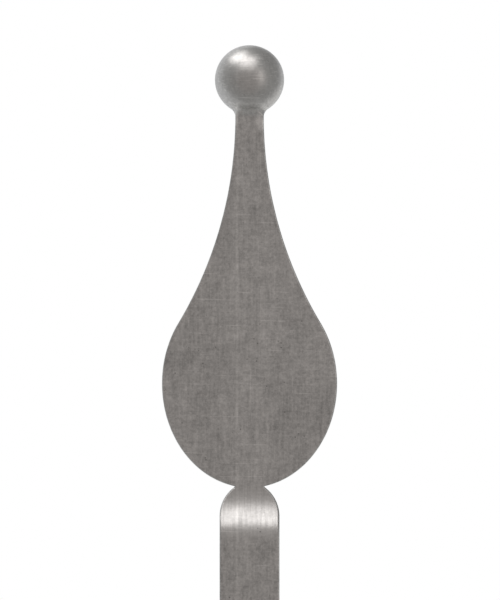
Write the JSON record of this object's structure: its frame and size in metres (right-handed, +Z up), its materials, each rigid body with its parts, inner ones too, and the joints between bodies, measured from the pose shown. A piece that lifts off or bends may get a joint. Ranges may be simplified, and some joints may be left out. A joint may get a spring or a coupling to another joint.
{
  "type": "fence picket",
  "caption": "Forged steel fence picket: a square bar drawn out at the top into a flat drop-shaped leaf, topped by a small ball.",
  "frame": {"origin": "centre of the bar's cut foot", "axes": "+Z up the bar to the ball, -Y out of the leaf's front face, +X across the leaf"},
  "size_m": [0.041, 0.0162, 1],
  "materials": {
    "steel": "bare forged steel, satin, lightly mottled and scratched"
  },
  "bodies": {
    "root": {"picket": "steel"}
  },
  "joints": []
}
